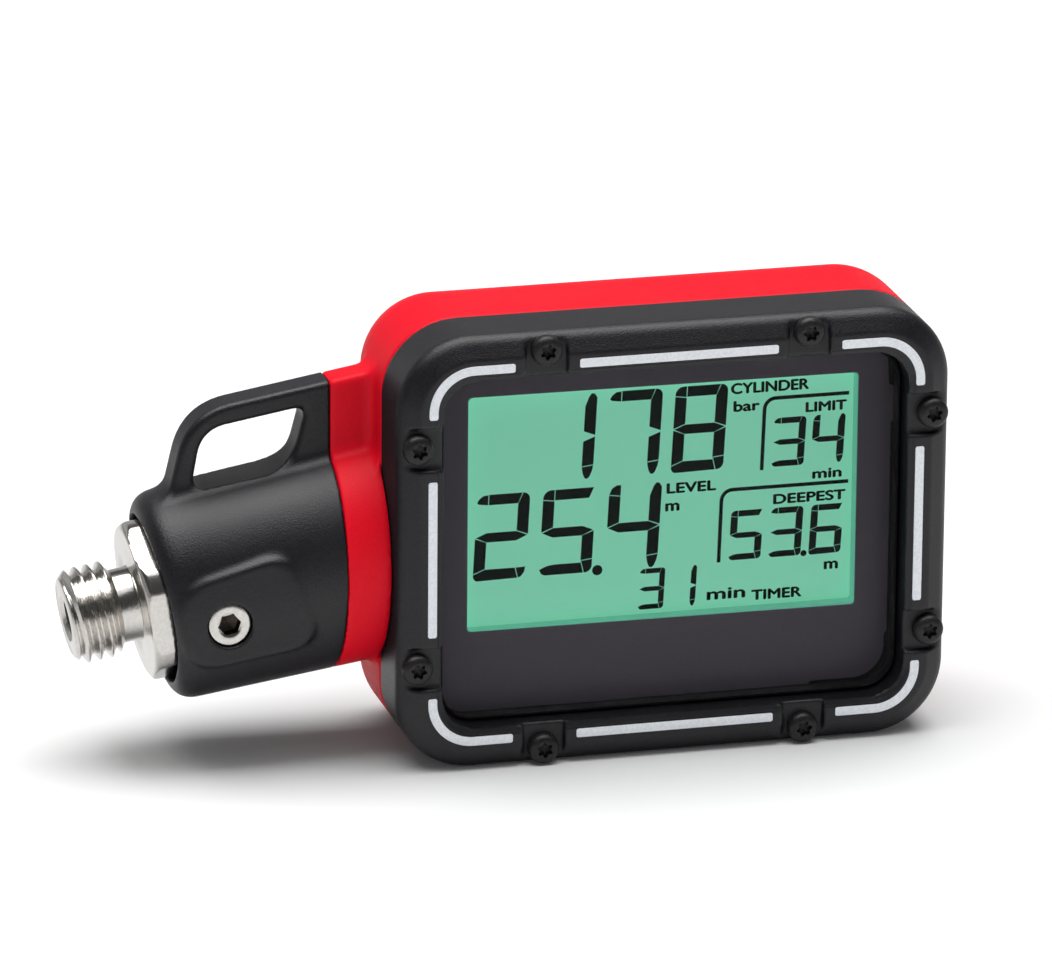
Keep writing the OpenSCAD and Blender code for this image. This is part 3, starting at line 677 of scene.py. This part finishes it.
for name, parts, node in (("straight_strips", straight, "straight_glow_strips"),
                          ("corner_strips", corners, "corner_glow_strips")):
    strips = add_mesh(name, *joined(parts), GLOW)
    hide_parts(node)


# -------------------- lens, mask and display
def stack(sections):
    """A solid through rounded rectangles (half width, half height, corner radius, depth), capped."""
    return closed_rows(np.array([outline(*section) for section in sections]))


def corner_arc(cx, cy, r, start, stop, count=5):
    """Points on a corner, from one angle to another in degrees."""
    a = np.radians(np.linspace(start, stop, count))
    return [(cx + r * math.cos(t), cy + r * math.sin(t)) for t in a]


def bearing(points):
    """Angle of each (x, z) point around the middle of the face, sorted."""
    return np.sort(np.arctan2(*np.asarray(points, float).T[::-1]))


def seen_along(points, angles):
    """The places where rays from the middle, at these angles, cross an outline of (x, z) points."""
    points = np.asarray(points, float)
    order = np.argsort(np.arctan2(points[:, 1], points[:, 0]))
    points = points[order]
    known = np.arctan2(points[:, 1], points[:, 0])
    after = np.searchsorted(known, angles - 1e-9) % len(points)
    a, b = points[after - 1], points[after]
    ray = np.stack([np.cos(angles), np.sin(angles)], -1)
    edge = b - a
    reach = (a[:, 0] * edge[:, 1] - a[:, 1] * edge[:, 0]) / (ray[:, 0] * edge[:, 1] - ray[:, 1] * edge[:, 0])
    return np.stack([ray[:, 0] * reach, np.zeros(len(angles)), ray[:, 1] * reach], -1)


LENS_FRONT, LENS_BACK = LENS[0][1], LENS[1][1]
LENS_IN = (APERTURE[0] - 0.25, APERTURE[1] - 0.25, APERTURE[2] - 0.25)
lens_rows = [(LENS_IN[0] - e, LENS_IN[1] - e, LENS_IN[2] - e, y) for e, y in
             ((0.35, LENS_FRONT), (0.1, LENS_FRONT + 0.1), (0.0, LENS_FRONT + 0.35), (0.0, 4.5))]
lens_rows += [(31.1, 23.9, 3.9, 4.52), (31.2, 24.0, 4.0, 4.65), (31.2, 24.0, 4.0, LENS_BACK)]
window = add_mesh("lens_window", *stack(lens_rows), WINDOW, sharp=8)
window.data.materials.append(GAP_SHADE)
# Only the front and back faces stay clear. The side faces take the black, which is painted shade
for face in window.data.polygons:
    face.material_index = 0 if abs(face.normal.y) > 0.99 and abs(face.center.x - FACE[0]) < 0.001 else 1
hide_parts("lens")


def framed(outer, inner, front, back):
    """A flat frame between two outlines that have the same number of points."""
    ring = []
    for edge, y in ((outer, back), (outer, front), (inner, front), (inner, back)):
        points = edge.copy()
        points[:, 1] = y
        ring.append(points)
    ring = np.array(ring)
    count = ring.shape[1]
    faces = []
    for k in range(4):
        a, b = k * count, ((k + 1) % 4) * count
        c = np.arange(count)
        n = (c + 1) % count
        faces += np.stack([a + c, a + n, b + n, b + c], -1).tolist()
    return ring.reshape(-1, 3), faces


WINDOW_Z = 3.07
WINDOW_HALF = (25.15, 15.28)
TILT = 0.0055
# The mask's edge steps in and out on the right and along the bottom, and its lower corners are large
mask_edge = [
    (29.1, 16.4), (28.9, 20.3), *corner_arc(26.9, 20.3, 2.0, 15, 90), *corner_arc(-27.3, 20.3, 2.0, 90, 180),
    *corner_arc(-25.2, -18.4, 4.1, 180, 270, 9), (19.2, -22.5), (19.65, -22.1),
    *corner_arc(25.0, -18.0, 4.1, 270, 360, 9), (29.1, -16.6), (29.45, -16.2), (29.45, 11.3),
    (29.75, 11.65), (29.75, 16.1)]
window_edge = outline(*WINDOW_HALF, 0.5, 0)[:, [0, 2]] + (0, WINDOW_Z)
window_edge[:, 1] -= TILT * window_edge[:, 0]
around = np.unique(np.concatenate([bearing(mask_edge), bearing(window_edge)]))
MASK_BACK = MASK[1][1]
points, faces = framed(seen_along(mask_edge, around), seen_along(window_edge, around),
                       MASK_BACK - 0.1, MASK_BACK)
mask = add_mesh("printed_display_mask", points, faces, PRINT)
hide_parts("display_mask")

rim_inner = outline(WINDOW_HALF[0] - 0.02, WINDOW_HALF[1] - 0.02, 0.9, 0)
rim_outer = outline(WINDOW_HALF[0] + 0.4, WINDOW_HALF[1] + 0.4, 1.2, 0)
for edge in (rim_inner, rim_outer):
    edge += (0, 0, WINDOW_Z)
    edge[:, 2] -= TILT * edge[:, 0]
# The rim's inside stops level with the opening of the display frame, so that the frame's lip is hidden
OPENING_HALF_W, OPENING_BOTTOM = 25.08, -12.08
rim_inner[:, 0] = np.clip(rim_inner[:, 0], -OPENING_HALF_W, OPENING_HALF_W)
rim_inner[:, 2] = np.maximum(rim_inner[:, 2], OPENING_BOTTOM)
# The rim takes the glowing rim finish: painted light and shade on the recess walls
rim = add_mesh("window_rim", *framed(rim_outer, rim_inner, MASK_BACK + 0.02, LCD[0][1] - 0.03), LCD_RIM_PAINTED_GLOW)

# A thin black sheet just behind the mask: painted shade filling the gap beyond the mask's edge
points, faces = framed(outline(29.95, 22.55, 3.9, 0), outline(26.4, 20.0, 2.0, 0),
                       MASK_BACK + 0.1, MASK_BACK + 0.2)
carrier = add_mesh("mask_carrier", points, faces, GAP_SHADE)

# Digits: their strokes are drawn in a box one digit wide and high, then sized, slanted and placed.
DIGIT_W, DIGIT_H, BAR_V, BAR_H, GAP = 6.65, 10.8, 1.45, 1.3, 0.1
MID = DIGIT_H / 2


def digit_strokes(lit):
    """The polygons of a digit, given its lit segments by letter from a, the top, round to g, the middle."""
    w, h, v, b, g = DIGIT_W, DIGIT_H, BAR_V, BAR_H, GAP
    strokes = []
    if "a" in lit:
        right = [(w - 0.97, h), (w - v, h - b)] if "b" in lit else [(w - 0.3, h), (w - 0.85, h - b)]
        strokes.append([(v + g / 2, h)] + right + [(v + g / 2, h - b)])
        if "f" in lit:
            strokes.append([(v - g / 2, h)] + corner_arc(1.0, h - 1.0, 1.0, 90, 180) + [
                (0, h - 1.15), (v - g / 2, h - 1.35)])
        else:
            strokes.append([(v - g / 2, h - 0.04), (0.75, h - 0.1), (0.25, h - 0.5), (0, h - 0.95),
                            (0.25, h - 1.15), (v - g / 2, h - b)])
    if "b" in lit:
        top = ([(w - 0.97 + g, h)] + corner_arc(w - 0.85, h - 0.85, 0.85, 80, 0)) if "a" in lit else [
            (w - 1.05, h - 0.45), (w - 0.75, h), (w - 0.35, h - 0.05), (w, h - 0.55)]
        inner = [(w - v, h - b - 0.1)] if "a" in lit else [(w - v, h - 1.6)]
        strokes.append(top + [(w, MID + 0.1), (w - v, MID + 0.66)] + inner)
    if "c" in lit:
        strokes.append([(w - v, MID - 0.66), (w, MID - 0.1), (w, 1.78), (w - v, 1.6)])
        if "d" in lit:
            strokes.append([(w - v, 1.6 - g), (w, 1.78 - g)] + corner_arc(w - 0.85, 0.85, 0.85, 0, -80) + [
                (w - 1.04 + g, 0), (w - v + 0.04 + g, b)])
        else:
            strokes.append([(w - v, 1.6 - g), (w, 1.78 - g), (w - 0.12, 1.0), (w - 0.4, 0.25), (w - 0.7, 0),
                            (w - 1.0, 0.1), (w - 1.25, 0.6)])
    if "d" in lit:
        if "e" in lit:
            left = corner_arc(0.75, 0.6, 0.75, 250, 190) + [(0, 0.72), (v, 1.32)]
        else:
            left = [(0.75, 0), (0.3, 0.2), (0, 0.75), (0.9, 1.15), (v + 0.3, b)]
        strokes.append([(w - 1.04, 0)] + left + [(w - v + 0.04, b)])
        if "c" not in lit:
            strokes.append([(w - 1.04 + g, 0), (w - v + 0.04 + g, b), (w - 0.1, b + 0.05), (w - 0.2, 0.7),
                            (w - 0.6, 0.15)])
    if "e" in lit:
        strokes.append([(0, MID - 0.1), (v, MID - 0.66), (v, 1.32 + g), (0, 0.72 + g)])
    if "f" in lit:
        strokes.append([(0, MID + 0.1), (0, h - 1.15 - g), (v, h - 1.35 - g), (v, MID + 0.66)])
        if "a" not in lit:
            strokes.append([(0, h - 1.15), (v, h - 1.35), (v, h), (0.9, h), (0.35, h - 0.35)])
    if "g" in lit:
        strokes.append([(0.1, MID), (v, MID + 0.56), (w - v, MID + 0.56), (w - 0.1, MID), (w - v, MID - 0.62),
                        (v, MID - 0.62)])
    return strokes


LIT = {"0": "abcdef", "1": "bc", "2": "abged", "3": "abgcd", "4": "fgbc", "5": "afgcd", "6": "afgedc",
       "7": "abc", "8": "abcdefg", "9": "abcdfg"}
SLANT = 0.052
INK_FRONT, INK_BACK = LCD[0][1] - 0.02, LCD[0][1] + 0.01


def spread(x, z):
    """The readings' places on the display, spread a little so that they fill it through the lens."""
    return x * 1.0203 - 0.07, z * 1.0285 + 0.24


def prism(points):
    """A flat plate of one outline in (x, z), facing the front and lying on the display's glass."""
    points = np.stack(spread(*np.asarray(points, float).T), -1)
    area = (points[:, 0] * np.roll(points[:, 1], -1) - np.roll(points[:, 0], -1) * points[:, 1]).sum()
    if area < 0:
        points = points[::-1]
    front = np.stack([points[:, 0], np.full(len(points), INK_FRONT), points[:, 1]], -1)
    back = front + (0, INK_BACK - INK_FRONT, 0)
    return closed_rows(np.array([back, front]))


def digit(symbol, x, z, width, height):
    """One digit with its lower left corner at (x, z)."""
    plates = []
    for stroke in digit_strokes(LIT[symbol]):
        flat = np.array(stroke) * (width / DIGIT_W, height / DIGIT_H)
        flat[:, 0] += x + SLANT * flat[:, 1]
        flat[:, 1] += z
        plates.append(prism(flat))
    return plates


# Each reading: its digits, the lower left corner, the pitch, the width and the height of a digit
READINGS = [("178", -15.05, 5.83, 8.27, DIGIT_W, DIGIT_H), ("254", -23.42, -6.1, 8.33, DIGIT_W, DIGIT_H),
            ("34", 14.3, 5.58, 5.0, 4.1, 6.2), ("536", 8.99, -6.0, 5.12, 4.1, 6.3),
            ("31", -2.47, -11.44, 4.05, 3.2, 5.2)]
# Decimal points: place and radius
POINTS = [(-7.67, -5.94, 0.65), (18.62, -5.8, 0.39)]
plates = []
for symbols, x, z, pitch, width, height in READINGS:
    for k, symbol in enumerate(symbols):
        plates += digit(symbol, x + k * pitch, z, width, height)
for x, z, r in POINTS:
    around = np.linspace(0, 2 * math.pi, 24, endpoint=False)
    plates.append(prism(np.stack([x + r * np.cos(around), z + r * np.sin(around)], -1)))


def line_around(x0, z0, x1, z1, radius, half):
    """A line that climbs, turns right with a rounded corner and runs on, drawn as one plate."""
    turn = np.radians(np.linspace(180, 90, 9))
    way = [(x0, z0), (x0 + 0.25, z1 - radius)]
    way += [(x0 + 0.25 + radius + radius * math.cos(t), z1 - radius + radius * math.sin(t)) for t in turn]
    way.append((x1, z1))
    way = np.array(way)
    direction = np.gradient(way, axis=0)
    direction /= np.linalg.norm(direction, axis=1)[:, None]
    across = np.stack([-direction[:, 1], direction[:, 0]], -1) * half
    return prism(np.concatenate([way + across, (way - across)[::-1]]))


LINE_CORNER, LINE_HALF = 1.4, 0.23
for line_ends in ((13.08, 5.27, 24.1, 14.34), (7.76, -6.15, 24.2, 3.05)):
    plates.append(line_around(*line_ends, LINE_CORNER, LINE_HALF))
ink = add_mesh("display_segments", *joined(plates), SEGMENT)

# Plain words and units: lower left corner, width and height
LABELS = [
    ("CYLINDER", 9.1, 15.25, 9.8, 1.36), ("bar", 9.45, 13.0, 3.2, 1.4), ("LIMIT", 18.65, 12.3, 5.1, 1.25),
    ("min", 19.65, 3.73, 3.6, 1.35), ("LEVEL", 1.1, 3.2, 6.15, 1.3), ("m", 0.95, 0.95, 1.65, 1.55),
    ("DEEPEST", 14.7, 0.83, 9.1, 1.25), ("m", 21.35, -8.05, 1.65, 1.55), ("min", 6.4, -10.85, 4.75, 1.6),
    ("TIMER", 12.1, -11.3, 6.3, 1.3)]
# A legend is printed bold: copies of it lie a hair apart, each on its own level
BOLD = [(0, 0, 0), (0.09, 0.0015, 0), (-0.09, 0.003, 0), (0, 0.0045, 0.06), (0, 0.006, -0.06)]
# How tall letters of size 1 are drawn
CAPITALS, SMALL_LETTERS = 0.73, 0.76
LETTER_DEPTH = 0.01


def label(number, words, x, z, width, height):
    """Plain printed words or a unit, made a mesh, then sized to its place on the display."""
    curve = bpy.data.curves.new(f"legend_{number}", "FONT")
    curve.body = words
    curve.extrude = LETTER_DEPTH
    flat = bpy.data.objects.new(f"legend_{number}", curve)
    bpy.context.scene.collection.objects.link(flat)
    bpy.context.view_layer.update()
    mesh = bpy.data.meshes.new_from_object(flat.evaluated_get(bpy.context.evaluated_depsgraph_get()))
    bpy.data.objects.remove(flat)
    co = np.array([v.co for v in mesh.vertices])
    low, high = co.min(0), co.max(0)
    wide = width / (high[0] - low[0])
    tall = height / (CAPITALS if words.upper() == words else SMALL_LETTERS)
    across, up = spread(x + (co[:, 0] - low[0]) * wide, z + co[:, 1] * tall)
    depth = (co[:, 2] - low[2]) / (2 * LETTER_DEPTH)
    placed = np.stack([across, INK_BACK - depth * (INK_BACK - INK_FRONT), up], -1)
    faces = [list(face.vertices) for face in mesh.polygons]
    points, faces = joined([(placed + offset, faces) for offset in BOLD])
    bpy.data.meshes.remove(mesh)
    mesh = bpy.data.meshes.new(f"display_legend_{number}")
    mesh.from_pydata(metres(points).tolist(), [], faces)
    mesh.update()
    mesh.materials.append(SEGMENT)
    piece = bpy.data.objects.new(f"display_legend_{number}", mesh)
    bpy.context.scene.collection.objects.link(piece)
    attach(piece, "housing")


for number, row in enumerate(LABELS):
    label(number, *row)


# -------------------- back of the housing
def cap_field(p):
    """The battery cap: a disc with a coin slot, an O-ring groove and two lugs."""
    x, y, z = p[..., 0] - CAP_X, p[..., 1], p[..., 2]
    r = np.hypot(x, z)
    disc = smooth_max(r - CAP_R, y - CAP[1][1], 0.7)
    disc = smooth_max(disc, CAP[0][1] - y, 0.3)
    slot = smooth_max(np.hypot(np.maximum(np.abs(x) - 8.1, 0), z) - 0.9, CAP[1][1] - 1.3 - y, 0.2)
    dish = smooth_max(r - 11.5, CAP[1][1] - 0.25 - y, 0.2)
    disc = smooth_max(smooth_max(disc, -dish, 0.4), -slot, 0.3)
    groove = np.maximum(np.abs(y - CAP[0][1] - 0.55) - 0.4, 13.25 - r)
    lugs = np.maximum(np.maximum(np.abs(z) - 2.1, np.abs(x) - 15.2), np.abs(y - 25.8) - 0.6)
    return np.minimum(np.maximum(disc, -groove), lugs)


cap_step = 0.25
points, faces = skin(cap_field, CAP[0] - SKIN_MARGIN[0], CAP[1] + SKIN_MARGIN[1], cap_step)
cap_piece = add_mesh("coin_slot_battery_cap", points, faces, BLACK, body="cap", sharp=50)
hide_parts("battery_cap")


def port_field(p):
    """The port cover: a small disc with three slots."""
    x, y, z = p[..., 0] - PORT_X, p[..., 1], p[..., 2] - PORT_Z
    disc = smooth_max(smooth_max(np.hypot(x, z) - PORT_R, y - PORT[1][1], 0.4), PORT[0][1] - y, 0.2)
    for offset in (-1.8, 0, 1.8):
        slot = np.hypot(np.maximum(np.abs(x) - 2.0, 0), z - offset) - 0.4
        disc = smooth_max(disc, -slot, 0.15)
    return disc


port_step = 0.14
points, faces = skin(port_field, PORT[0] - SKIN_MARGIN[0], PORT[1] + SKIN_MARGIN[1], port_step)
port_piece = add_mesh("slotted_port_cover", points, faces, BLACK, sharp=50)
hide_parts("depth_port_cover")

# -------------------- inner pieces keep their CAD shape
INNER = {
    "lens_gasket": RUBBER, "lcd_panel": LCD_PAINTED_GLOW, "light_guide": GUIDE, "backlight_leds": GLOW,
    "contact_strips": ELASTOMER, "display_frame": DARK, "main_board": BOARD, "board_parts": CHIP,
    "board_screws": STEEL, "battery_cell": CELL, "cell_contact_negative": BRASS,
    "cell_contact_positive": BRASS, "battery_cap_oring": RUBBER, "pressure_barrel": STEEL,
    "pressure_sensor": STEEL, "pressure_sensor_oring": RUBBER, "sensor_nut": STEEL, "sensor_wires": WIRE,
    "fitting_orings": RUBBER, "thrust_washer": WASHER, "depth_sensor": STEEL, "depth_sensor_oring": RUBBER}
for node, material in INNER.items():
    mesh = frame["nodes"][node].data
    mesh.materials.clear()
    mesh.materials.append(material)


# -------------------- studio
def add_floor():
    """A wide pale floor under the object; reflections see it darker on the left."""
    low = cad_bounds[0][2]
    mesh = bpy.data.meshes.new("floor")
    reach = 9
    mesh.from_pydata([(-reach, -reach, low), (reach, -reach, low), (reach, reach, low), (-reach, reach, low)],
                     [], [(0, 1, 2, 3)])
    material = bpy.data.materials.new("pale_floor")
    material.use_nodes = True
    tree = material.node_tree
    shader = tree.nodes["Principled BSDF"]
    shader.inputs["Roughness"].default_value = 0.9
    path = new_node(tree, "LightPath")
    place, split = new_node(tree, "TexCoord"), new_node(tree, "SeparateXYZ")
    shaded = new_node(tree, "MapRange", From_Min=-0.22, From_Max=-0.06, To_Min=0.15, To_Max=0.72)
    shade = new_node(tree, "Mix", data_type="RGBA")
    colors = color_sockets(shade.inputs)
    colors[0].default_value = (0.95, 0.95, 0.95, 1)
    tree.links.new(place.outputs["Object"], split.inputs[0])
    tree.links.new(split.outputs["X"], shaded.inputs["Value"])
    tree.links.new(shaded.outputs["Result"], colors[1])
    tree.links.new(path.outputs["Is Glossy Ray"], shade.inputs[0])
    tree.links.new(color_sockets(shade.outputs)[0], shader.inputs["Base Color"])
    mesh.materials.append(material)
    floor = bpy.data.objects.new("floor", mesh)
    bpy.context.scene.collection.objects.link(floor)


def add_softbox(name, place, size, power):
    """A large soft light at a place in metres, turned to the object."""
    light = bpy.data.lights.new(name, "AREA")
    light.shape = "RECTANGLE"
    light.size, light.size_y = size
    light.energy = power
    lamp = bpy.data.objects.new(name, light)
    lamp.location = place
    lamp.rotation_euler = (Vector((0, 0, 0.03)) - Vector(place)).to_track_quat("-Z", "Y").to_euler()
    bpy.context.scene.collection.objects.link(lamp)


def add_camera():
    """A long lens from the left and above, rolled slightly, aimed beside the housing."""
    yaw, pitch, roll = (math.radians(a) for a in (14.93, 18.11, 0.45))
    distance, aim = 1.1, metres((-17.6, 6.95, 6.68))
    back = Vector((-math.sin(yaw) * math.cos(pitch), -math.cos(yaw) * math.cos(pitch), math.sin(pitch)))
    right = Vector((math.cos(yaw), -math.sin(yaw), 0))
    up = back.cross(right)
    right, up = (math.cos(roll) * right + math.sin(roll) * up, -math.sin(roll) * right + math.cos(roll) * up)
    data = bpy.data.cameras.new("camera")
    data.lens, data.sensor_width, data.clip_end = 303.7, 36.0, 100
    camera = bpy.data.objects.new("camera", data)
    turn = Matrix((right, up, back)).transposed().to_4x4()
    camera.matrix_world = Matrix.Translation(Vector(aim) + back * distance) @ turn
    bpy.context.scene.collection.objects.link(camera)
    bpy.context.scene.camera = camera


def add_world():
    """A white tent: bright overhead and low in front, with a dark gap between that reflections see
    wider, and dimmer behind."""
    world = bpy.data.worlds.new("studio")
    world.use_nodes = True
    tree = world.node_tree
    sky = tree.nodes["Background"]
    place, split = new_node(tree, "TexCoord"), new_node(tree, "SeparateXYZ")
    height = new_node(tree, "MapRange", From_Min=-1.0, From_Max=1.0)
    path, pick = new_node(tree, "LightPath"), new_node(tree, "Mix", data_type="RGBA")
    levels = color_sockets(pick.inputs)
    lit = ((0.0, 0.6), (0.69, 0.5), (0.75, 0.08), (0.89, 0.08), (0.94, 1.0))
    mirrored = ((0.0, 0.6), (0.52, 0.5), (0.57, 0.05), (0.88, 0.05), (0.93, 1.1))
    for stops, level_in in ((lit, levels[0]), (mirrored, levels[1])):
        ramp = tree.nodes.new("ShaderNodeValToRGB")
        for number, (position, level) in enumerate(stops):
            stop = ramp.color_ramp.elements[number] if number < 2 else ramp.color_ramp.elements.new(position)
            stop.position, stop.color = position, (level, level, level, 1)
        tree.links.new(height.outputs["Result"], ramp.inputs["Fac"])
        tree.links.new(ramp.outputs["Color"], level_in)
    ahead = new_node(tree, "MapRange", From_Min=0.0, From_Max=0.5, To_Min=1.0, To_Max=0.0)
    tree.links.new(split.outputs["Y"], ahead.inputs["Value"])
    seen = new_node(tree, "Math", operation="MULTIPLY")
    tree.links.new(path.outputs["Is Glossy Ray"], seen.inputs[0])
    tree.links.new(ahead.outputs["Result"], seen.inputs[1])
    tree.links.new(seen.outputs[0], pick.inputs[0])
    behind = new_node(tree, "MapRange", From_Min=-0.2, From_Max=0.4, To_Min=0.9, To_Max=0.75)
    tree.links.new(place.outputs["Generated"], split.inputs[0])
    tree.links.new(split.outputs["Z"], height.inputs["Value"])
    tree.links.new(split.outputs["Y"], behind.inputs["Value"])
    tree.links.new(color_sockets(pick.outputs)[0], sky.inputs["Color"])
    tree.links.new(behind.outputs["Result"], sky.inputs["Strength"])
    bpy.context.scene.world = world
    bpy.context.scene.view_settings.view_transform = "Standard"


add_floor()
add_world()
add_softbox("top_softbox", (0.0, 0.1, 1.1), (1.2, 0.9), 14)
add_camera()
